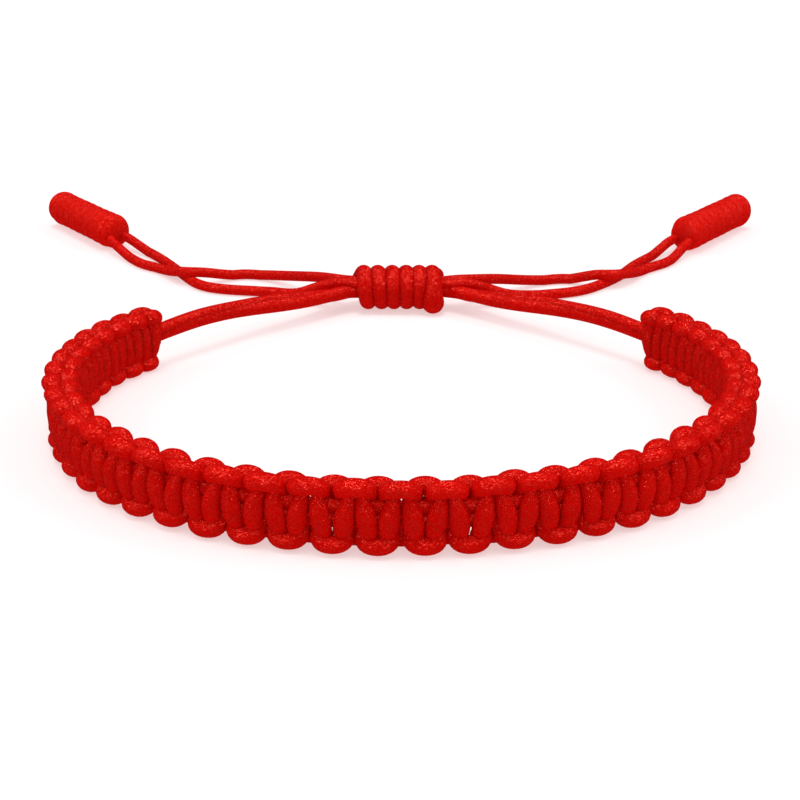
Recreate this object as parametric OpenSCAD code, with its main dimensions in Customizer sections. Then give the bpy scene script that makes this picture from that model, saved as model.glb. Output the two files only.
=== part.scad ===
// Knotted cord bracelet: a flat square-knot band on a core of two thin cords.
// The cords' four ends run through a sliding knot and end in two wrapped knots.
// Millimetres, +Z up, the bracelet standing on its lower edge on a flat surface.

/* [Band] */
// Mean radius of the band's oval, to the middle of the band
ring_radius = 27.5; // [26:0.5:29]
// How much wider than deep the oval is, as a share of its radius
ring_oval = 0.18; // [0.15:0.01:0.2]
// How much fuller the oval is behind than in front, as a share of its radius
ring_egg = 0.063; // [0.05:0.001:0.07]
// How much squarer the oval is at the back corners, as a share of its radius
ring_corner = 0.042; // [0.03:0.001:0.05]
// Height of the band, edge to edge
band_h = 6.75; // [6.5:0.05:7]
// Length of one square knot along the band, before the front ones are opened
knot_pitch = 3.14; // [3.1:0.01:3.15]
// How much longer the knots are in front, and shorter behind, as a share
knot_open = 0.19; // [0.15:0.01:0.2]

/* [Cords] */
// Diameter of the thick cord that the knots are tied with
strand_d = 1.2; // [1.15:0.01:1.22]
// Diameter of the thin cords of the core and the free ends
cord_d = 1.1; // [1:0.05:1.1]

/* [Sliding knot] */
// Diameter over the turns of the sliding knot
slider_d = 5.3; // [5.2:0.05:5.4]
// Number of turns of the sliding knot
slider_turns = 6; // [5:1:6]

/* [End knots] */
// Diameter over the turns of an end knot
end_knot_d = 4.7; // [4.5:0.1:4.7]
// Number of turns of an end knot
end_knot_turns = 9; // [8:1:9]

/* [Hidden] */

strand_color = [0.80, 0.03, 0.04];
core_color = [0.62, 0.02, 0.03];
cord_color = [0.74, 0.03, 0.04];

// The oval's middle lies in front of the origin, so that band and sliding knot are centred on it
ring_y = -6.78;
// Half the number of knots, counted from the middle of the front
half_knots = 19.5;
// The knots' length swings from its longest to its mean over this many knots
open_swing = 10;

// Core: two cords, one above the other
core_d = 0.8 * cord_d;
core_rise = 0.52;
core_sides = 6;
core_rings = 40;
core_stub = 0.25;

// Shape of one knot's strand, by its angle t: 0 at the top turn, 180 at the bottom turn
strand_sides = 6;
rings_a_knot = 14;
lean_two = 0.249;
lean_four = 0.031;
turn_flat = 0.032;
seat_gap = 0.14;
back_shift = 0.062;
squeeze = 0.48;
pitch_of_strand = 3.4;

// Height of the turns' middles above and below the core, for the widest strand, in front
turn_v = band_h / 2 - strand_d / 2 * knot_pitch * (1 + knot_open) / pitch_of_strand;

// Sliding knot: its middle, its turns, and the hole that the four cords run through
slider_pos = [0, 28, slider_d / 2];
slider_turn_d = 1.65;
slider_step = 1.75;
slider_bore_r = 1.45;
slider_len = slider_turns * slider_step;

// End knots: middle of each, and the way that its axis points, from the cords outwards
end_turn_d = 1.7;
end_step = 1.78;
end_len = end_knot_turns * end_step;
left_end_pos = [-43.3, 56.4, end_knot_d / 2];
right_end_pos = [42.65, 55.3, end_knot_d / 2];
end_turn_angle = 50.5;

// Routes of the four free cords, from the band through the sliding knot to the end knot
left_upper_route = [
    [-26.2, 10.6, 4.25], [-22.6, 14.2, 4.5], [-18.4, 18.2, 4.15], [-14.2, 22.1, 3.5],
    [-10.8, 25.1, 2.75], [-8.3, 27.5, 2.15], [-5.6, 28.62, 2.07], [-2.8, 28.82, 2.65],
    [-0, 28.58, 3.23], [2.8, 28, 3.47], [5.6, 27.42, 3.23], [8.6, 28, 3.25], [10.3, 28.5, 2.55],
    [11.97, 28.92, 1.65], [15.46, 30.34, 0.75], [19.26, 31.34, 0.55], [22.31, 32.56, 0.55],
    [24.36, 34.18, 0.55], [26.03, 35.89, 0.55], [27.71, 37.99, 0.55], [29.66, 41.22, 0.55],
    [31.63, 43.98, 0.55], [33.55, 46.41, 0.65], [34.3, 47.5, 1.1], [35.4, 48.6, 1.8],
    [36.52, 49.59, 2.3]];
left_lower_route = [
    [-26.2, 10.6, 3.1], [-22.5, 14.1, 3.35], [-18.2, 18, 3.05], [-13.8, 21.4, 2.45],
    [-10.4, 24.1, 2.1], [-7.8, 26.1, 2.05], [-5.6, 27.4, 2.02], [-2.8, 28, 1.83], [-0, 28.58, 2.07],
    [2.8, 28.82, 2.65], [5.6, 28.58, 3.23], [8.79, 29.9, 2.95], [11.94, 32.45, 2.1],
    [15.17, 34.93, 1.1], [18.2, 36.3, 0.6], [20.81, 36.71, 0.57], [22.7, 36.1, 1.1],
    [24.5, 35.3, 1.66], [26.3, 35.15, 1.72], [27.9, 36.1, 1.5], [29.6, 38.3, 0.9],
    [31.5, 40.6, 0.56], [33.63, 42.35, 0.55], [35.71, 44.51, 0.62], [36.3, 45.9, 1.05],
    [37.5, 47.2, 1.8], [38.22, 48.19, 2.3]];
right_upper_route = [
    [26.2, 10.6, 4.25], [22.6, 14.2, 4.5], [18.4, 18.2, 4.15], [14.2, 22.1, 3.5],
    [10.8, 25.1, 2.75], [8.3, 27.5, 2.15], [5.6, 28.62, 2.07], [2.8, 28, 1.83], [-0, 27.42, 2.07],
    [-2.8, 27.18, 2.65], [-5.6, 27.42, 3.23], [-8.6, 28.2, 3.25], [-10.3, 28.75, 2.55],
    [-11.94, 29.14, 1.65], [-15.47, 31.44, 0.75], [-19.3, 32.4, 0.55], [-22.42, 33.04, 0.55],
    [-24.38, 33.95, 0.55], [-25.93, 35.48, 0.55], [-27.73, 38.34, 0.55], [-29.61, 41.57, 0.55],
    [-31.73, 44.88, 0.55], [-33.85, 47.77, 0.6], [-34.9, 48.9, 1.05], [-36.05, 49.75, 1.75],
    [-37.17, 50.69, 2.3]];
right_lower_route = [
    [26.2, 10.6, 3.1], [22.5, 14.1, 3.35], [18.2, 18, 3.05], [13.8, 21.4, 2.45], [10.4, 24.1, 2.1],
    [7.8, 26.1, 2.05], [5.6, 27.4, 2.02], [2.8, 27.18, 2.65], [-0, 27.42, 3.23], [-2.8, 28, 3.47],
    [-5.6, 28.58, 3.23], [-8.79, 30.38, 2.95], [-11.97, 33.42, 2.1], [-15.2, 36.59, 1.1],
    [-18.23, 38.24, 0.6], [-20.81, 38.32, 0.57], [-22.7, 37.4, 1], [-24.5, 36.4, 1.55],
    [-26.3, 36.15, 1.72], [-28, 37.1, 1.45], [-29.7, 39.2, 0.85], [-31.5, 41, 0.6],
    [-33.41, 42.35, 0.55], [-35.64, 45.03, 0.6], [-37, 46.9, 1.05], [-38.2, 48.2, 1.8],
    [-38.87, 49.29, 2.3]];

function unit(v) = v / norm(v);

// The oval: radius and point at an angle from the middle of the front
function oval_r(a) =
    ring_radius * (1 - ring_egg * cos(a) - ring_oval * cos(2 * a) + ring_corner * cos(3 * a));
function oval_at(a) = [oval_r(a) * sin(a), ring_y - oval_r(a) * cos(a)];

// Length along the oval from the front, against the angle
arc_step = 1.5;
arc_table = [for (i = 0, s = 0; i <= 180 / arc_step;
    s = s + norm(oval_at((i + 1) * arc_step) - oval_at(i * arc_step)), i = i + 1)
    [s, i * arc_step]];
function angle_at(s) = sign(s) * lookup(abs(s), arc_table);

// Point of the band: s along it, v above its middle, d out from its middle
function heading(a) = unit(oval_at(a + 1) - oval_at(a - 1));
function band_point(s, v, d) =
    let (a = angle_at(s), p = oval_at(a), h = heading(a))
    [p.x + h.y * d, p.y - h.x * d, band_h / 2 + v];
function out_at(s) = let (h = heading(angle_at(s))) [h.y, -h.x, 0];

// Place and length of the knots along the band
swing_deg = 90 / open_swing;
function run_of(u) =
    knot_pitch * (u + knot_open * sin(u * swing_deg) * 180 / (PI * swing_deg));
function pitch_at(u) = knot_pitch * (1 + knot_open * cos(u * swing_deg));

// The routes are drawn for a band whose end stands at route_end. The cords' first points follow
// the band's end when it moves, each one less than the last, up to the sliding knot
route_end = [26.525, 10.407];
band_end = band_point(run_of(half_knots), 0, 0);
function followed(route) = [for (i = [0:len(route) - 1])
    let (share = max(0, 1 - i / 6), move = [band_end.x - route_end.x, band_end.y - route_end.y])
    route[i] + share * [sign(route[0].x) * move.x, move.y, 0]];

// One strand of the knots at angle t round knot place u. side is 1 for the strand
// whose bars lie on the outer face, and -1 for the one whose bars lie on the inner face
function strand_r(u, t) =
    strand_d / 2 * pitch_at(u) / pitch_of_strand
    * (1 - squeeze * pow(sin(2 * t), 2));
function strand_depth(t) =
    let (reach = core_d / 2 + strand_d / 2 + seat_gap)
    -reach * cos(2 * t) + back_shift * strand_d / 2 * (cos(4 * t) - 1);
function strand_point(u, t, side) = band_point(
    run_of(u) + pitch_at(u) * (lean_two * sin(2 * t) + lean_four * sin(4 * t)),
    turn_v * ((1 + turn_flat) * cos(t) - turn_flat * cos(3 * t)),
    side * strand_depth(t));

// Tube through a list of points. up is one direction, or one for each point
function ring_heading(p, i) =
    unit(p[min(i + 1, len(p) - 1)] - p[max(i - 1, 0)]);
function ring(p, i, r, up, sides) =
    let (h = ring_heading(p, i), x = unit(cross(up, h)), y = cross(h, x))
    [for (k = [0:sides - 1]) p[i] + r * (cos(360 * k / sides) * x + sin(360 * k / sides) * y)];
module tube(p, radii, ups, sides) {
    n = len(p);
    points = [for (i = [0:n - 1]) each ring(p, i, radii[i], ups[i], sides)];
    walls = [for (i = [0:n - 2], k = [0:sides - 1])
        let (a = i * sides + k, b = i * sides + (k + 1) % sides)
        each [[a, b, a + sides], [b, b + sides, a + sides]]];
    first = [for (k = [sides - 1:-1:0]) k];
    last = [for (k = [0:sides - 1]) (n - 1) * sides + k];
    polyhedron(points = points, faces = [
        for (f = concat(walls, [first, last])) [for (j = [len(f) - 1:-1:0]) f[j]]]);
}

// Strand of the knots, from the left end of the band to the right end
module strand(side) {
    first_ring = -half_knots * rings_a_knot;
    places = [for (i = [first_ring:half_knots * rings_a_knot]) i / rings_a_knot];
    phase = side > 0 ? 180 : 0;
    tube(
        [for (u = places) strand_point(u, 360 * u + phase, side)],
        [for (u = places) strand_r(u, 360 * u + phase)],
        [for (u = places) out_at(run_of(u))],
        strand_sides);
}

// Core cord inside the band, at a height above its middle
module core(v) {
    end_s = run_of(half_knots) + core_stub;
    places = [for (i = [0:core_rings - 1]) end_s * (2 * i / (core_rings - 1) - 1)];
    tube([for (s = places) band_point(s, v, 0)], [for (s = places) core_d / 2],
        [for (s = places) [0, 0, 1]], core_sides);
}

// Free cord along its route
module free_cord(route) {
    tube(followed(route), [for (p = route) cord_d / 2], [for (p = route) [0, 0, 1]], 8);
}

// Wrapped knot along +Z from z = 0, with a hole of radius bore through it, or none at 0
module wrapped_knot(turns, step, turn_d, outer_d, bore) {
    mid_r = (outer_d - turn_d) / 2;
    rotate_extrude($fn = 48) difference() {
        union() {
            for (i = [0:turns - 1]) translate([mid_r, (i + 0.5) * step]) circle(d = turn_d, $fn = 24);
            translate([0, 0.05]) square([mid_r + 0.15 * turn_d, turns * step - 0.1]);
        }
        translate([-10, -1]) square([10 + bore, turns * step + 2]);
    }
}

module outer_strand() { color(strand_color) strand(1); }
module inner_strand() { color(strand_color) strand(-1); }
module core_upper() { color(core_color) core(core_rise); }
module core_lower() { color(core_color) core(-core_rise); }
module left_cord_upper() { color(cord_color) free_cord(left_upper_route); }
module left_cord_lower() { color(cord_color) free_cord(left_lower_route); }
module right_cord_upper() { color(cord_color) free_cord(right_upper_route); }
module right_cord_lower() { color(cord_color) free_cord(right_lower_route); }

module sliding_knot() {
    color(strand_color) translate(slider_pos) rotate([0, 90, 0])
        translate([0, 0, -slider_len / 2])
        wrapped_knot(slider_turns, slider_step, slider_turn_d, slider_d, slider_bore_r);
}

// End knot at a place, its axis lying flat and turned by an angle from +X
module end_knot(pos, angle) {
    color(cord_color) translate(pos) rotate([0, 90, angle])
        translate([0, 0, -end_len / 2])
        wrapped_knot(end_knot_turns, end_step, end_turn_d, end_knot_d, 0);
}
module left_end_knot() { end_knot(left_end_pos, 180 - end_turn_angle); }
module right_end_knot() { end_knot(right_end_pos, end_turn_angle); }

outer_strand();
inner_strand();
core_upper();
core_lower();
left_cord_upper();
left_cord_lower();
right_cord_upper();
right_cord_lower();
sliding_knot();
left_end_knot();
right_end_knot();
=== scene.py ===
import math

import bpy
import numpy as np
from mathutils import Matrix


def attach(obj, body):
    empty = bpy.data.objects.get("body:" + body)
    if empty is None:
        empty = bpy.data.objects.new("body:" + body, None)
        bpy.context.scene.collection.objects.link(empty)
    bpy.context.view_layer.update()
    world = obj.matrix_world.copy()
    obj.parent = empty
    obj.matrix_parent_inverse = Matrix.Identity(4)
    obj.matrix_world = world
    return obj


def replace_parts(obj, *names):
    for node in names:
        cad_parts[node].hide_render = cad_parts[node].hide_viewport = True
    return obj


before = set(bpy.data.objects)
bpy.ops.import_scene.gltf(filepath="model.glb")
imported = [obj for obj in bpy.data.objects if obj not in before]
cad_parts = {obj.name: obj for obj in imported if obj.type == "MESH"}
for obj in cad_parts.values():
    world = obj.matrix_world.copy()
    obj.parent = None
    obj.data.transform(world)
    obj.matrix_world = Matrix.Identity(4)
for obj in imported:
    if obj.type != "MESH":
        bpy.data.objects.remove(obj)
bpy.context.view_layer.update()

# Knotted cord bracelet. Lengths are written in millimetres and become metres through MM.
# +X runs along the loop's width, +Y from the band's front to the sliding knot, +Z up.
MM = 0.001

# Camera and view, as the photograph was taken
CAMERA_TILT = math.radians(25.9)
CAMERA_REACH = 131.09 * MM
CAMERA_LENS = 60.74
CAMERA_SHIFT = (-0.0018, 0.0427)

# Band: an oval, and the square knots along it
RING_RADIUS = 27.5 * MM
RING_Y = -6.78 * MM
RING_OVAL = 0.18
RING_EGG = 0.063
RING_CORNER = 0.042
BAND_H = 6.75 * MM
KNOT_PITCH = 3.14 * MM
KNOT_OPEN = 0.19
OPEN_SWING = 10
HALF_KNOTS = 19.5

# Cords
STRAND_D = 1.46 * MM
THIN_D = 1.1 * MM
CORE_D = 1.3 * MM
CORE_RISE = 0.62 * MM

# Sliding knot and end knots
SLIDER_POS = np.array([0, 28, 2.65]) * MM
SLIDER_R = 2.65 * MM
SLIDER_CORD_D = 2.0 * MM
END_KNOT_R = 2.35 * MM
END_KNOT_TURNS = 9
END_KNOT_STEP = 1.78 * MM
END_KNOT_ANGLE = math.radians(50.5)
LEFT_END_POS = np.array([-43.3, 56.4, 2.35]) * MM
RIGHT_END_POS = np.array([42.65, 55.3, 2.35]) * MM

# Cord colours: the cord's own red; a darker red, which yarns drift towards at random and which is
# painted into the gaps between yarns as shade; and the end knots' lighter red, which is painted light
RED = (0.78, 0.0026, 0.001)
TONE_AND_GAP_SHADE_RED = (0.5, 0.0006, 0.0003)
END_KNOT_PAINTED_LIGHT_RED = (0.95, 0.004, 0.0012)

# Free cords between band and sliding knot, and where they run into the end knots
PAIR_SHIFT = 0.38 * MM
PAIR_SHARE = 0.36
PAIR_FADE = 4 * MM
BESIDE_KNOT_DROP = 0.35 * MM
END_DROP = 0.6 * MM

# Routes of the four free cords, from the band through the sliding knot to the end knot
LEFT_UPPER_ROUTE = np.array([
    [-26.2, 10.6, 4.25], [-22.6, 14.2, 4.5], [-18.4, 18.2, 4.15], [-14.2, 22.1, 3.5],
    [-10.8, 25.1, 2.75], [-8.3, 27.5, 2.15], [-5.6, 28.62, 2.07], [-2.8, 28.82, 2.65],
    [-0, 28.58, 3.23], [2.8, 28, 3.47], [5.6, 27.42, 3.23], [8.6, 28, 3.25], [10.3, 28.5, 2.55],
    [11.97, 28.92, 1.65], [15.46, 30.34, 0.75], [19.26, 31.34, 0.55], [22.31, 32.56, 0.55],
    [24.36, 34.18, 0.55], [26.03, 35.89, 0.55], [27.71, 37.99, 0.55], [29.66, 41.22, 0.55],
    [31.63, 43.98, 0.55], [33.55, 46.41, 0.65], [34.3, 47.5, 1.1], [35.4, 48.6, 1.8],
    [36.52, 49.59, 2.3]]) * MM
LEFT_LOWER_ROUTE = np.array([
    [-26.2, 10.6, 3.1], [-22.5, 14.1, 3.35], [-18.2, 18, 3.05], [-13.8, 21.4, 2.45],
    [-10.4, 24.1, 2.1], [-7.8, 26.1, 2.05], [-5.6, 27.4, 2.02], [-2.8, 28, 1.83], [-0, 28.58, 2.07],
    [2.8, 28.82, 2.65], [5.6, 28.58, 3.23], [8.79, 29.9, 2.95], [11.94, 32.45, 2.1],
    [15.17, 34.93, 1.1], [18.2, 36.3, 0.6], [20.81, 36.71, 0.57], [22.7, 36.1, 1.1],
    [24.5, 35.3, 1.66], [26.3, 35.15, 1.72], [27.9, 36.1, 1.5], [29.6, 38.3, 0.9],
    [31.5, 40.6, 0.56], [33.63, 42.35, 0.55], [35.71, 44.51, 0.62], [36.3, 45.9, 1.05],
    [37.5, 47.2, 1.8], [38.22, 48.19, 2.3]]) * MM
RIGHT_UPPER_ROUTE = np.array([
    [26.2, 10.6, 4.25], [22.6, 14.2, 4.5], [18.4, 18.2, 4.15], [14.2, 22.1, 3.5],
    [10.8, 25.1, 2.75], [8.3, 27.5, 2.15], [5.6, 28.62, 2.07], [2.8, 28, 1.83], [-0, 27.42, 2.07],
    [-2.8, 27.18, 2.65], [-5.6, 27.42, 3.23], [-8.6, 28.2, 3.25], [-10.3, 28.75, 2.55],
    [-11.94, 29.14, 1.65], [-15.47, 31.44, 0.75], [-19.3, 32.4, 0.55], [-22.42, 33.04, 0.55],
    [-24.38, 33.95, 0.55], [-25.93, 35.48, 0.55], [-27.73, 38.34, 0.55], [-29.61, 41.57, 0.55],
    [-31.73, 44.88, 0.55], [-33.85, 47.77, 0.6], [-34.9, 48.9, 1.05], [-36.05, 49.75, 1.75],
    [-37.17, 50.69, 2.3]]) * MM
RIGHT_LOWER_ROUTE = np.array([
    [26.2, 10.6, 3.1], [22.5, 14.1, 3.35], [18.2, 18, 3.05], [13.8, 21.4, 2.45], [10.4, 24.1, 2.1],
    [7.8, 26.1, 2.05], [5.6, 27.4, 2.02], [2.8, 27.18, 2.65], [-0, 27.42, 3.23], [-2.8, 28, 3.47],
    [-5.6, 28.58, 3.23], [-8.79, 30.38, 2.95], [-11.97, 33.42, 2.1], [-15.2, 36.59, 1.1],
    [-18.23, 38.24, 0.6], [-20.81, 38.32, 0.57], [-22.7, 37.4, 1], [-24.5, 36.4, 1.55],
    [-26.3, 36.15, 1.72], [-28, 37.1, 1.45], [-29.7, 39.2, 0.85], [-31.5, 41, 0.6],
    [-33.41, 42.35, 0.55], [-35.64, 45.03, 0.6], [-37, 46.9, 1.05], [-38.2, 48.2, 1.8],
    [-38.87, 49.29, 2.3]]) * MM


def unit(v):
    """Vectors of length one along the last axis."""
    return v / np.linalg.norm(v, axis=-1, keepdims=True)


def lengths_along(path):
    """Distance walked along a path up to each of its points."""
    steps = np.linalg.norm(np.diff(path, axis=0), axis=1)
    return np.concatenate([[0], np.cumsum(steps)])


def smooth_path(route, step):
    """Natural cubic spline through the route's points, at even steps of length.

    Between two points the curve is the cubic whose second derivative runs straight from one point's
    bend to the next one's. The bends come from one linear system, with none at the two ends."""
    at = lengths_along(route)
    gap = np.diff(at)
    n = len(route)
    system = np.eye(n)
    right = np.zeros((n, 3))
    i = np.arange(1, n - 1)
    system[i, i - 1] = gap[:-1]
    system[i, i] = 2 * (gap[:-1] + gap[1:])
    system[i, i + 1] = gap[1:]
    slope = np.diff(route, axis=0) / gap[:, None]
    right[i] = 6 * np.diff(slope, axis=0)
    bend = np.linalg.solve(system, right)
    s = np.linspace(0, at[-1], 40 * n)
    k = np.clip(np.searchsorted(at, s, side="right") - 1, 0, n - 2)
    before, after, wide = (s - at[k])[:, None], (at[k + 1] - s)[:, None], gap[k][:, None]
    fine = ((bend[k] * after**3 + bend[k + 1] * before**3) / (6 * wide)
            + (route[k] / wide - bend[k] * wide / 6) * after
            + (route[k + 1] / wide - bend[k + 1] * wide / 6) * before)
    walked = lengths_along(fine)
    even = np.linspace(0, walked[-1], max(int(walked[-1] / step), 8) + 1)
    return np.stack([np.interp(even, walked, fine[:, axis]) for axis in range(3)], axis=1)


def softened(path, reach, length):
    """Path whose last length is smoothed: each point becomes the mean of its neighbours within
    reach on both sides, and within less near the path's end and near the smoothed part's start."""
    at = lengths_along(path)
    count = len(path)
    share = np.clip((at - at[-1] + length) / (0.4 * length), 0, 1)
    i = np.arange(count)
    near = np.minimum(reach * share / (at[-1] / (count - 1)), np.minimum(i, count - 1 - i)).astype(int)
    total = np.concatenate([np.zeros((1, 3)), np.cumsum(path, axis=0)])
    return (total[i + near + 1] - total[i - near]) / (2 * near + 1)[:, None]


def carried_frames(path):
    """Across and over directions along a path, turned no more than the path itself turns.

    Each pair is the last one mirrored twice: in the plane midway between the two points, and in
    the plane that then brings the mirrored heading onto the new one."""
    heading = unit(np.gradient(path, axis=0))
    across = np.empty_like(path)
    side = np.array([0, 0, 1.0]) if abs(heading[0, 2]) < 0.9 else np.array([1.0, 0, 0])
    across[0] = unit(np.cross(side, heading[0]))
    for i in range(len(path) - 1):
        first = path[i + 1] - path[i]
        size = first @ first
        side = across[i] - 2 / size * (first @ across[i]) * first
        turned = heading[i] - 2 / size * (first @ heading[i]) * first
        second = heading[i + 1] - turned
        size = max(second @ second, 1e-30)
        across[i + 1] = side - 2 / size * (second @ side) * second
    across = unit(across - np.sum(across * heading, axis=1, keepdims=True) * heading)
    return heading, across, np.cross(heading, across)


def closed_tube(name, path, radius, sides, press=None, end_rings=5):
    """Closed tube of a varying radius along a path, with a half ball on either end.

    Ring i is path[i] + radius[i] * (cos a * across + sin a * over). press is None or a pair: unit
    directions, one a ring, and how much of a ring's reach in that direction is left. U of the UV
    map is the length along the tube in metres, and V the turn round it, from 0 to 1."""
    heading, across, over = carried_frames(path)
    radius = np.broadcast_to(radius, len(path)).astype(float)
    bulge = np.linspace(0, np.pi / 2, end_rings + 1)[1:-1]
    start = path[0] - heading[0] * radius[0] * np.sin(bulge[::-1])[:, None]
    stop = path[-1] + heading[-1] * radius[-1] * np.sin(bulge)[:, None]
    own = np.concatenate([np.zeros(len(bulge), int), np.arange(len(path)),
                          np.full(len(bulge), len(path) - 1)])
    centres = np.concatenate([start, path, stop])
    radii = np.concatenate([radius[0] * np.cos(bulge[::-1]), radius, radius[-1] * np.cos(bulge)])
    turn = np.linspace(0, 2 * np.pi, sides, endpoint=False)
    ring = (np.cos(turn)[None, :, None] * across[own][:, None]
            + np.sin(turn)[None, :, None] * over[own][:, None])
    if press is not None:
        way, left = press[0][own][:, None], np.broadcast_to(press[1], len(path))[own]
        ring = ring - (1 - left)[:, None, None] * np.sum(ring * way, axis=2, keepdims=True) * way
    rings = centres[:, None] + radii[:, None, None] * ring
    poles = np.stack([path[0] - heading[0] * radius[0], path[-1] + heading[-1] * radius[-1]])
    u = np.broadcast_to(lengths_along(centres)[:, None], (len(centres), sides + 1))
    v = np.broadcast_to(np.linspace(0, 1, sides + 1), u.shape)
    return grid_object(name, rings, poles, np.stack([u, v], axis=2))


def grid_object(name, rings, poles, uv):
    """Mesh object of rings of points, closed round each ring and drawn to a pole at either end.

    uv has one more column than a ring has points, for the texture's place one turn on."""
    count, sides = rings.shape[:2]
    points = np.concatenate([rings.reshape(-1, 3), poles])
    i, j = np.meshgrid(np.arange(count - 1), np.arange(sides), indexing="ij")
    i, j = i.ravel(), j.ravel()
    k = (j + 1) % sides
    quads = np.stack([i * sides + j, i * sides + k, (i + 1) * sides + k, (i + 1) * sides + j], 1)
    quad_uv = np.stack([uv[i, j], uv[i, j + 1], uv[i + 1, j + 1], uv[i + 1, j]], 1)
    j = np.arange(sides)
    k = (j + 1) % sides
    last = (count - 1) * sides
    first_fan = np.stack([np.full(sides, last + sides), k, j], 1)
    last_fan = np.stack([np.full(sides, last + sides + 1), last + j, last + k], 1)
    first_uv = np.stack([(uv[0, j] + uv[0, j + 1]) / 2, uv[0, j + 1], uv[0, j]], 1)
    last_uv = np.stack([(uv[-1, j] + uv[-1, j + 1]) / 2, uv[-1, j], uv[-1, j + 1]], 1)
    corners = np.concatenate([quads.ravel(), first_fan.ravel(), last_fan.ravel()])
    corner_uv = np.concatenate([part.reshape(-1, 2) for part in (quad_uv, first_uv, last_uv)])
    sizes = np.concatenate([np.full(len(quads), 4), np.full(2 * sides, 3)])

    mesh = bpy.data.meshes.new(name)
    mesh.vertices.add(len(points))
    mesh.vertices.foreach_set("co", points.ravel())
    mesh.loops.add(len(corners))
    mesh.loops.foreach_set("vertex_index", corners)
    mesh.polygons.add(len(sizes))
    mesh.polygons.foreach_set("loop_start", np.concatenate([[0], np.cumsum(sizes)[:-1]]))
    mesh.uv_layers.new(name="along_and_round")
    mesh.uv_layers[0].data.foreach_set("uv", corner_uv.ravel())
    mesh.update(calc_edges=True)
    mesh.validate()
    mesh.shade_smooth()
    made = bpy.data.objects.new(name, mesh)
    bpy.context.scene.collection.objects.link(made)
    return made


def dress(piece, material):
    """Gives a piece its material and slot, and lets it ride on the bracelet's one body."""
    piece.data.materials.append(material)
    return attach(piece, "root")


def new_camera():
    """Camera that looks at the band's middle on the floor from the photograph's angle."""
    data = bpy.data.cameras.new("photo_camera")
    data.lens = CAMERA_LENS
    data.sensor_width = 36
    data.shift_x, data.shift_y = CAMERA_SHIFT
    data.clip_start = 0.002
    camera = bpy.data.objects.new("photo_camera", data)
    camera.location = (0, RING_Y - CAMERA_REACH * math.cos(CAMERA_TILT),
                       CAMERA_REACH * math.sin(CAMERA_TILT))
    camera.rotation_euler = (math.pi / 2 - CAMERA_TILT, 0, 0)
    bpy.context.scene.collection.objects.link(camera)
    bpy.context.scene.camera = camera


def math_node(tree, operation, first, second=None, third=None, clamp=False):
    """Math node on numbers or sockets; returns its value socket."""
    node = tree.nodes.new("ShaderNodeMath")
    node.operation = operation
    node.use_clamp = clamp
    for i, value in enumerate((first, second, third)):
        if value is None:
            continue
        if isinstance(value, (int, float)):
            node.inputs[i].default_value = value
        else:
            tree.links.new(value, node.inputs[i])
    return node.outputs[0]


def new_group(name, inputs, outputs):
    """Empty shader group with named sockets; returns the tree, its input and its output node."""
    tree = bpy.data.node_groups.new(name, "ShaderNodeTree")
    for label, kind, value in inputs:
        socket = tree.interface.new_socket(label, in_out="INPUT", socket_type=kind)
        if value is not None:
            socket.default_value = value
    for label, kind in outputs:
        tree.interface.new_socket(label, in_out="OUTPUT", socket_type=kind)
    return tree, tree.nodes.new("NodeGroupInput"), tree.nodes.new("NodeGroupOutput")


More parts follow.
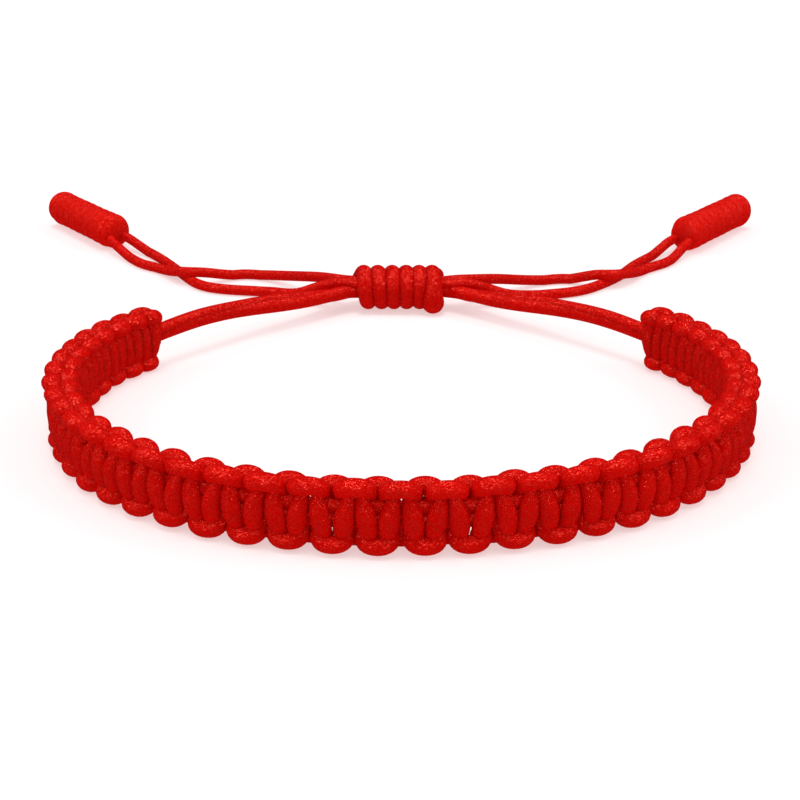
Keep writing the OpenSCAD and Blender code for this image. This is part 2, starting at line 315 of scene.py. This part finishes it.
def braid_group():
    """Braided sleeve of a cord, from its UV map.

    Two families of yarns wind round the cord in opposite senses. A yarn's number is
    yarns * V plus or minus U / pick. Where the two whole numbers add up to an even one, the
    first family lies on top, and otherwise the second. The height is the upper yarn's round
    section times the arch that it makes over the yarn below, and each crossing is tilted by a
    random slope, so that single yarns glint."""
    tree, given, put = new_group(
        "Braided sleeve",
        [("UV", "NodeSocketVector", None), ("Yarns", "NodeSocketFloat", 11.0),
         ("Pick", "NodeSocketFloat", 0.0004)],
        [("Height", "NodeSocketFloat"), ("Gap", "NodeSocketFloat"), ("Yarn tone", "NodeSocketFloat")])
    split = tree.nodes.new("ShaderNodeSeparateXYZ")
    tree.links.new(given.outputs["UV"], split.inputs[0])
    along = math_node(tree, "DIVIDE", split.outputs["X"], given.outputs["Pick"])
    round_ = math_node(tree, "MULTIPLY", split.outputs["Y"], given.outputs["Yarns"])
    first = math_node(tree, "ADD", round_, along)
    second = math_node(tree, "SUBTRACT", round_, along)
    whole = math_node(tree, "ADD", math_node(tree, "FLOOR", first), math_node(tree, "FLOOR", second))
    on_top = math_node(tree, "PINGPONG", whole, 1.0)

    def mix(a, b):
        picked = math_node(tree, "MULTIPLY", b, on_top)
        rest = math_node(tree, "MULTIPLY", a, math_node(tree, "SUBTRACT", 1.0, on_top))
        return math_node(tree, "ADD", picked, rest)

    part_one = math_node(tree, "FRACT", first)
    part_two = math_node(tree, "FRACT", second)
    cross = mix(part_one, part_two)
    length = mix(part_two, part_one)
    section = math_node(tree, "SINE", math_node(tree, "MULTIPLY", cross, math.pi))
    arch = math_node(tree, "SINE", math_node(tree, "MULTIPLY", length, math.pi))
    section = math_node(tree, "POWER", section, 1.4)
    height = math_node(tree, "MULTIPLY", section, math_node(tree, "MULTIPLY_ADD", arch, 0.45, 0.55))
    strands = tree.nodes.new("ShaderNodeCombineXYZ")
    tree.links.new(math_node(tree, "MULTIPLY", cross, 5.0), strands.inputs[0])
    tree.links.new(math_node(tree, "MULTIPLY", length, 0.7), strands.inputs[1])
    tree.links.new(whole, strands.inputs[2])
    fibre = tree.nodes.new("ShaderNodeTexNoise")
    fibre.inputs["Scale"].default_value = 1.0
    fibre.inputs["Detail"].default_value = 1.0
    tree.links.new(strands.outputs[0], fibre.inputs["Vector"])
    streak = math_node(tree, "MULTIPLY_ADD", fibre.outputs[0], 0.5, height)
    # Gap: where the yarns dip between one another; the dye group paints shade there
    tree.links.new(math_node(tree, "SUBTRACT", 1.0, height, clamp=True), put.inputs["Gap"])
    cell = tree.nodes.new("ShaderNodeTexWhiteNoise")
    cell.noise_dimensions = "2D"
    corner = tree.nodes.new("ShaderNodeCombineXYZ")
    tree.links.new(math_node(tree, "FLOOR", first), corner.inputs[0])
    tree.links.new(math_node(tree, "FLOOR", second), corner.inputs[1])
    tree.links.new(corner.outputs[0], cell.inputs["Vector"])
    tree.links.new(cell.outputs["Value"], put.inputs["Yarn tone"])
    tilts = tree.nodes.new("ShaderNodeSeparateXYZ")
    tree.links.new(cell.outputs["Color"], tilts.inputs[0])
    uneven = streak
    for tilt, share in ((tilts.outputs["X"], cross), (tilts.outputs["Y"], length)):
        slope = math_node(tree, "MULTIPLY_ADD", tilt, 6.0, -3.0)
        arm = math_node(tree, "SUBTRACT", share, 0.5)
        uneven = math_node(tree, "MULTIPLY_ADD", slope, arm, uneven)
    tree.links.new(uneven, put.inputs["Height"])
    return tree


def dye_group():
    """Colour of the dyed yarn: the dye, varied from yarn to yarn and by a slow noise along the cord,
    with shade painted into the gaps between yarns by drawing them towards the darker red."""
    tree, given, put = new_group(
        "Dyed yarn",
        [("Position", "NodeSocketVector", None), ("Dye", "NodeSocketColor", (0.7, 0.01, 0.01, 1)),
         ("Darker tone and gap shade", "NodeSocketColor", (0.4, 0, 0, 1)), ("Gap", "NodeSocketFloat", 0.0),
         ("Yarn tone", "NodeSocketFloat", 0.5)],
        [("Color", "NodeSocketColor"), ("Roughness", "NodeSocketFloat")])
    slow = tree.nodes.new("ShaderNodeTexNoise")
    slow.inputs["Scale"].default_value = 220.0
    slow.inputs["Detail"].default_value = 2.0
    tree.links.new(given.outputs["Position"], slow.inputs["Vector"])
    # Painted shade: the gaps between yarns are drawn a fifth of the way towards the darker red
    share = math_node(tree, "MULTIPLY", given.outputs["Gap"], 0.2)
    tone = math_node(tree, "MULTIPLY_ADD", given.outputs["Yarn tone"], 0.2, share)
    drift = math_node(tree, "MULTIPLY_ADD", slow.outputs[0], 0.5, -0.25)
    blend = tree.nodes.new("ShaderNodeMix")
    blend.data_type = "RGBA"
    tree.links.new(math_node(tree, "ADD", tone, drift, clamp=True), blend.inputs["Factor"])
    tree.links.new(given.outputs["Dye"], blend.inputs["A"])
    tree.links.new(given.outputs["Darker tone and gap shade"], blend.inputs["B"])
    tree.links.new(blend.outputs["Result"], put.inputs["Color"])
    rough = math_node(tree, "MULTIPLY_ADD", given.outputs["Yarn tone"], 0.25, 0.15)
    tree.links.new(rough, put.inputs["Roughness"])
    return tree


def cord_material(name, colour, yarns, pick, relief):
    """Braided nylon: braid and dye groups into one Principled shader.

    yarns is how many lie side by side round the cord, pick the length of one crossing and relief
    the height of the bump, both in metres."""
    material = bpy.data.materials.new(name)
    material.use_nodes = True
    tree = material.node_tree
    shader = tree.nodes["Principled BSDF"]
    place = tree.nodes.new("ShaderNodeTexCoord")
    sleeve = tree.nodes.new("ShaderNodeGroup")
    sleeve.node_tree = braided_sleeve
    sleeve.inputs["Yarns"].default_value = yarns
    sleeve.inputs["Pick"].default_value = pick
    tree.links.new(place.outputs["UV"], sleeve.inputs["UV"])
    dyed = tree.nodes.new("ShaderNodeGroup")
    dyed.node_tree = dyed_yarn
    dyed.inputs["Dye"].default_value = (*colour, 1)
    # The darker red: some yarns' own darker tone, and the shade painted into the gaps between yarns
    dyed.inputs["Darker tone and gap shade"].default_value = (*TONE_AND_GAP_SHADE_RED, 1)
    tree.links.new(place.outputs["Object"], dyed.inputs["Position"])
    tree.links.new(sleeve.outputs["Gap"], dyed.inputs["Gap"])
    tree.links.new(sleeve.outputs["Yarn tone"], dyed.inputs["Yarn tone"])
    tree.links.new(dyed.outputs["Color"], shader.inputs["Base Color"])
    tree.links.new(dyed.outputs["Roughness"], shader.inputs["Roughness"])
    bump = tree.nodes.new("ShaderNodeBump")
    bump.inputs["Distance"].default_value = relief
    tree.links.new(sleeve.outputs["Height"], bump.inputs["Height"])
    tree.links.new(bump.outputs["Normal"], shader.inputs["Normal"])
    for socket, value in (("Specular IOR Level", 0.6), ("Metallic", 0.15),
                          ("Specular Tint", (1, 0.42, 0.28, 1)), ("Subsurface Weight", 0.8),
                          ("Subsurface Radius", (1, 0.3, 0.2)), ("Subsurface Scale", 1.0 * MM)):
        shader.inputs[socket].default_value = value
    return material


def oval_r(a):
    """Distance of the oval from its middle at angle a, in radians from the middle of the front."""
    return RING_RADIUS * (1 - RING_EGG * np.cos(a) - RING_OVAL * np.cos(2 * a)
                          + RING_CORNER * np.cos(3 * a))


def oval_at(a):
    """Point of the oval on the floor plane at angle a."""
    return np.stack([oval_r(a) * np.sin(a), RING_Y - oval_r(a) * np.cos(a)], axis=-1)


OVAL_A = np.radians(np.linspace(-180, 180, 7201))
OVAL_S = lengths_along(oval_at(OVAL_A))
OVAL_S -= OVAL_S[len(OVAL_S) // 2]


def band_point(s, v, d):
    """Point of the band: s along it from the front, v above its middle, d outwards from it."""
    a = np.interp(s, OVAL_S, OVAL_A)
    on = oval_at(a)
    out = out_at(s)
    height = np.broadcast_to(BAND_H / 2 + v, len(a))
    return np.stack([on[:, 0] + out[:, 0] * d, on[:, 1] + out[:, 1] * d, height], axis=1)


def out_at(s):
    """Outward direction of the band at length s: the oval's heading turned a quarter clockwise."""
    a = np.interp(s, OVAL_S, OVAL_A)
    ahead = unit(oval_at(a + 0.017) - oval_at(a - 0.017))
    return np.stack([ahead[:, 1], -ahead[:, 0], np.zeros(len(a))], axis=1)


def run_of(u):
    """Length along the band of knot place u: the pitch is longer in front than behind."""
    swing = np.pi / 2 / OPEN_SWING
    return KNOT_PITCH * (u + KNOT_OPEN * np.sin(u * swing) / swing)


def pitch_at(u):
    """Length of one knot at knot place u."""
    return KNOT_PITCH * (1 + KNOT_OPEN * np.cos(u * np.pi / 2 / OPEN_SWING))


def wander(u, seed, size):
    """Irregularity of handwork along the band: a random value at each half knot, at most size,
    with a smooth step between one and the next."""
    values = np.random.default_rng(seed).uniform(-size, size, 128)
    at = 2 * u + 64
    k = np.floor(at).astype(int)
    share = at - k
    share = share * share * (3 - 2 * share)
    return values[k] * (1 - share) + values[k + 1] * share


def strand(name, side):
    """One strand of the square knots, from the left end of the band to the right end.

    With t the turn of the knot, one round a knot, the strand swings up and down with cos t less a
    small share of cos 3t, in and out with cos 2t, and leans along the band with sin 2t and sin 4t.
    side is 1 for the strand whose bars lie outside and -1 for the one whose bars lie inside. The
    bars are pressed flat against the core and the turns down onto it, both wider than the waist
    between them. The knots change with the pitch from front to back, and each end is tucked into
    the core."""
    end = HALF_KNOTS + 0.3
    u = np.linspace(-end, end, int(2 * end * 64) + 1)
    t = 2 * np.pi * u + (np.pi if side > 0 else 0)
    # Ends of the band: how far past the last knot, and the share of the swing that is left
    past = np.maximum(np.abs(u) - HALF_KNOTS + 0.3, 0)
    tuck_at = HALF_KNOTS if side > 0 else HALF_KNOTS - 0.25
    tuck = 1 - np.clip((np.abs(u) - tuck_at) / 0.3, 0, 1) ** 2
    # Along the band: the pitch against the front's, the sides, and how far to the back
    grade = pitch_at(u) / pitch_at(0)
    flank = np.exp(-((np.abs(u) - 9) / 4) ** 2)
    back = (1 - grade) / 0.32
    # Along the strand: its bars, its turns, and of these the top ones
    flat = np.clip(-np.cos(2 * t), 0, 1) ** 2
    turn = np.clip(np.cos(2 * t), 0, 1)
    top = turn * np.clip(np.cos(t), 0, 1)

    # Place along the band: the bars lean, and the last knot is drawn in
    lean = pitch_at(u) * (0.2 * np.sin(2 * t) + 0.03 * np.sin(4 * t)) * tuck
    s = run_of(u) - 0.75 * np.sign(u) * past * pitch_at(u) + lean + wander(u, 3 + side, 0.1 * MM)
    if side > 0:
        # The last bottom turn stands a little further in than the last top one
        s = s - 0.45 * MM * np.sign(u) * np.exp(-((np.abs(u) - HALF_KNOTS + 0.4) / 0.13) ** 2)

    # Height over the band's middle: squarer turns behind, and top turns that stand out
    block = 0.032 + 0.25 * (1 - grade)
    turn_v, low = (2.36 * MM, -0.19 * MM) if side > 0 else (2.53 * MM, 0)
    rise = turn_v * ((1 + block) * np.cos(t) - block * np.cos(3 * t)) + low
    rise = rise + wander(u, 7 + side, 0.07 * MM)
    rise = rise + (0.14 + 0.25 * flank) * MM * top
    rise = rise + (0.2 * back if side > 0 else 0.09 - 0.12 * back) * MM * top

    # Distance from the core, outwards from the band
    reach = (0.9 + 0.12 * flank - 0.16 * back) * MM - 0.06 * MM * turn
    depth = -side * reach * np.cos(2 * t) + 0.04 * side * MM + wander(u, 11 + side, 0.08 * MM)

    # Thickness, and how far bars and turns are pressed flat
    waist = 0.14 * np.sin(2 * t) ** 4 * grade**2
    radius = STRAND_D / 2 * (1 + 0.2 * flat * grade + 0.2 * turn**0.7 - waist)
    radius = radius * (1 + 0.1 * back) * (1 + wander(u, 15 + side, 0.04))
    bar = (np.cos(2 * t) < 0)[:, None]
    way = np.where(bar, out_at(s), np.array([0, 0, 1.0]))
    pressed = 1 - 0.28 * flat - 0.16 * turn
    path = band_point(s, rise * tuck, depth * tuck)
    path[:, 2] = np.maximum(path[:, 2], radius * pressed)
    return closed_tube(name, path, radius, 18, press=(way, pressed))


def core(name, rise):
    """Core cord inside the band at a height above its middle."""
    end = run_of(HALF_KNOTS)
    s = np.linspace(-end, end, 400)
    return closed_tube(name, band_point(s, rise, 0 * s), CORE_D / 2, 14)


def free_cord_path(route, upper):
    """Path and radius of a free cord along its route.

    Between the band and the sliding knot the cord is thicker and moved towards the other one of
    its pair, both fading out as it enters the knot. The upper cord is lowered by a bell curve
    beside the knot. The last stretch sinks a little and is smoothed, and no point of the path is
    lower than the cord's radius, so that it rests on the floor."""
    path = smooth_path(route, 0.15 * MM)
    paired = np.clip((lengths_along(path)[-1] * PAIR_SHARE - lengths_along(path)) / PAIR_FADE, 0, 1)
    path[:, 2] += (-PAIR_SHIFT if upper else PAIR_SHIFT) * paired
    if upper:
        past_knot = np.exp(-((np.abs(path[:, 0]) - 9.2 * MM) / (2 * MM)) ** 2) * (1 - paired)
        path[:, 2] -= BESIDE_KNOT_DROP * past_knot
    left = lengths_along(path)[-1] - lengths_along(path)
    path[:, 2] -= END_DROP * np.clip(1 - left / (5 * MM), 0, 1) ** 1.5
    path = softened(path, 2.5 * MM, 10 * MM)
    radius = THIN_D / 2 * (1.14 + 0.26 * paired)
    path[:, 2] = np.maximum(path[:, 2], radius)
    return path, radius


def sliding_knot():
    """Sliding knot: one cord wound round the four thin cords, as the photograph shows its turns.

    The table gives the cord's place along +X for every half turn, from the top over the front to
    the bottom and up again behind. The last turn hangs as a wider lobe towards the front."""
    places = np.array([-5.5, -4.4, -3.9, -2.75, -2.3, -1.05, -0.85, 0.6, 0.65, 2.15, 2.2, 3.7,
                       3.75, 4.1])
    halves = np.array([-0.6, 0, 1, 2, 3, 4, 5, 6, 7, 8, 9, 10, 11, 11.7])
    route = smooth_path(np.stack([halves, places, 0 * halves], 1), 0.01)
    angle, x = np.pi * route[:, 0], route[:, 1] * MM
    lobe = np.exp(-((route[:, 0] - 10.85) / 0.35) ** 2)
    radius = SLIDER_CORD_D / 2 * (1 + 0.35 * lobe)
    off = SLIDER_R - SLIDER_CORD_D / 2
    y = SLIDER_POS[1] - off * np.sin(angle) - 0.8 * MM * lobe
    z = np.maximum(SLIDER_POS[2] + off * np.cos(angle), radius)
    return closed_tube("sliding_knot_turns", np.stack([x, y, z], 1), radius, 20)


def end_knot(name, middle, angle):
    """End knot: a closed body of revolution on a flat axis, its cord's turns in low relief.

    The profile runs from the inner end, where the two cords come out, over its rounded edge and
    along the barrel to the outer end. A turn's height over a step of the winding is the half
    circle sqrt(1 - (2f - 1)^2), f being the share of the step. U of the UV map runs along the
    wound cord in metres, and V across it, half a turn a step; on the two ends the map lies flat."""
    half = END_KNOT_TURNS * END_KNOT_STEP / 2
    profile = np.array([
        [-1.0, 0.05], [-0.998, 0.3], [-0.99, 0.5], [-0.97, 0.72], [-0.93, 0.9], [-0.87, 0.99],
        [-0.78, 1.0], [-0.6, 0.99], [-0.3, 0.97], [0.1, 0.98], [0.4, 0.97], [0.62, 0.97],
        [0.8, 0.99], [0.93, 0.98], [0.985, 0.88], [1.0, 0.65], [1.0, 0.3], [1.0, 0.05]])
    outline = smooth_path(np.stack([profile[:, 0] * half, profile[:, 1] * END_KNOT_R,
                                    0 * profile[:, 0]], 1), 0.05 * MM)
    x, r = outline[:, :1], outline[:, 1:2]
    sides = 96
    turn = np.linspace(0, 1, sides + 1)
    step = x / END_KNOT_STEP + turn
    share = step - np.floor(step)
    body = np.clip((r / END_KNOT_R - 0.75) / 0.15, 0, 1)
    height = np.sqrt(np.clip(1 - (2 * share - 1) ** 2, 0, 1)) - 1
    r = r + 0.45 * MM * height * body
    axis = np.array([math.cos(angle), math.sin(angle), 0])
    side = np.array([-math.sin(angle), math.cos(angle), 0])
    round_ = (np.cos(2 * np.pi * turn)[:, None] * side
              + np.sin(2 * np.pi * turn)[:, None] * np.array([0, 0, 1.0]))
    rings = middle + x[:, None] * axis + r[:, :, None] * round_[None]
    poles = middle + np.stack([x[0, 0] * axis, x[-1, 0] * axis])
    wound = np.stack([2 * np.pi * END_KNOT_R * turn + 0 * x, 0.5 * step], axis=2)
    around = 2 * np.pi * turn
    flat = np.stack([r * np.cos(around), r * np.sin(around) / (2 * END_KNOT_STEP)], axis=2)
    return grid_object(name, rings[:, :-1], poles, np.where(body[:, :, None] > 0, wound, flat))


new_camera()

braided_sleeve = braid_group()
dyed_yarn = dye_group()
# Each cord's colour, its yarns round it, the length of one crossing and the height of its relief
band_cord = cord_material("band_cord_nylon", RED, 20, 0.22 * MM, 0.028 * MM)
core_cord = cord_material("core_cord_nylon", RED, 16, 0.2 * MM, 0.022 * MM)
thin_cord = cord_material("thin_cord_nylon", RED, 16, 0.2 * MM, 0.022 * MM)
knot_cord = cord_material("knot_cord_nylon", RED, 24, 0.22 * MM, 0.028 * MM)
# The end knots' lighter red is painted light, for the brighter light that falls on them
end_cord = cord_material("end_knot_cord_nylon", END_KNOT_PAINTED_LIGHT_RED, 24, 0.2 * MM, 0.022 * MM)

left_end = end_knot("left_end_knot_turns", LEFT_END_POS, math.pi - END_KNOT_ANGLE)
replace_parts(dress(left_end, end_cord), "left_end_knot")
right_end = end_knot("right_end_knot_turns", RIGHT_END_POS, END_KNOT_ANGLE)
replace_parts(dress(right_end, end_cord), "right_end_knot")

for node, route, far_knot in (
    ("left_cord_upper", LEFT_UPPER_ROUTE, right_end),
    ("left_cord_lower", LEFT_LOWER_ROUTE, right_end),
    ("right_cord_upper", RIGHT_UPPER_ROUTE, left_end),
    ("right_cord_lower", RIGHT_LOWER_ROUTE, left_end),
):
    path, radius = free_cord_path(route, node.endswith("upper"))
    made = dress(closed_tube(node + "_braid", path, radius, 20), thin_cord)
    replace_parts(made, node)

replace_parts(dress(strand("outer_strand_braid", 1), band_cord), "outer_strand")
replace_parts(dress(strand("inner_strand_braid", -1), band_cord), "inner_strand")
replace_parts(dress(core("core_upper_braid", CORE_RISE), core_cord), "core_upper")
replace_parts(dress(core("core_lower_braid", -CORE_RISE), core_cord), "core_lower")
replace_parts(dress(sliding_knot(), knot_cord), "sliding_knot")


def floor_and_light():
    """White floor, white surroundings and soft lights from overhead, the left and the right."""
    size = 4.0
    mesh = bpy.data.meshes.new("floor")
    mesh.from_pydata([(-size, -size, 0), (size, -size, 0), (size, size, 0), (-size, size, 0)],
                     [], [(0, 1, 2, 3)])
    floor = bpy.data.objects.new("floor", mesh)
    bpy.context.scene.collection.objects.link(floor)
    white = bpy.data.materials.new("floor_white")
    white.use_nodes = True
    shader = white.node_tree.nodes["Principled BSDF"]
    shader.inputs["Base Color"].default_value = (0.6, 0.6, 0.6, 1)
    shader.inputs["Roughness"].default_value = 0.5
    shader.inputs["Specular IOR Level"].default_value = 0
    shader.inputs["Emission Color"].default_value = (1, 0.8, 0.8, 1)
    shader.inputs["Emission Strength"].default_value = 0.4
    mesh.materials.append(white)
    floor.visible_glossy = False

    world = bpy.data.worlds.new("studio")
    bpy.context.scene.world = world
    world.use_nodes = True
    background = world.node_tree.nodes["Background"]
    background.inputs["Color"].default_value = (1, 1, 1, 1)
    ray = world.node_tree.nodes.new("ShaderNodeLightPath")
    strength = math_node(world.node_tree, "MULTIPLY_ADD", ray.outputs["Is Glossy Ray"], -0.48, 0.5)
    strength = math_node(world.node_tree, "MULTIPLY_ADD", ray.outputs["Is Camera Ray"], 0.5, strength)
    world.node_tree.links.new(strength, background.inputs["Strength"])

    for name, energy, lean, shadow in (("overhead", 0.9, 0, True), ("overhead_fill", 1.0, 0, False),
                                       ("left", 0.35, -50, True), ("right", 0.35, 50, True)):
        data = bpy.data.lights.new(name, "SUN")
        data.energy = energy
        data.use_shadow = shadow
        data.angle = math.radians(25)
        lamp = bpy.data.objects.new(name, data)
        lamp.rotation_euler = (0, math.radians(lean), 0)
        bpy.context.scene.collection.objects.link(lamp)


floor_and_light()
bpy.context.scene.view_settings.view_transform = "Standard"
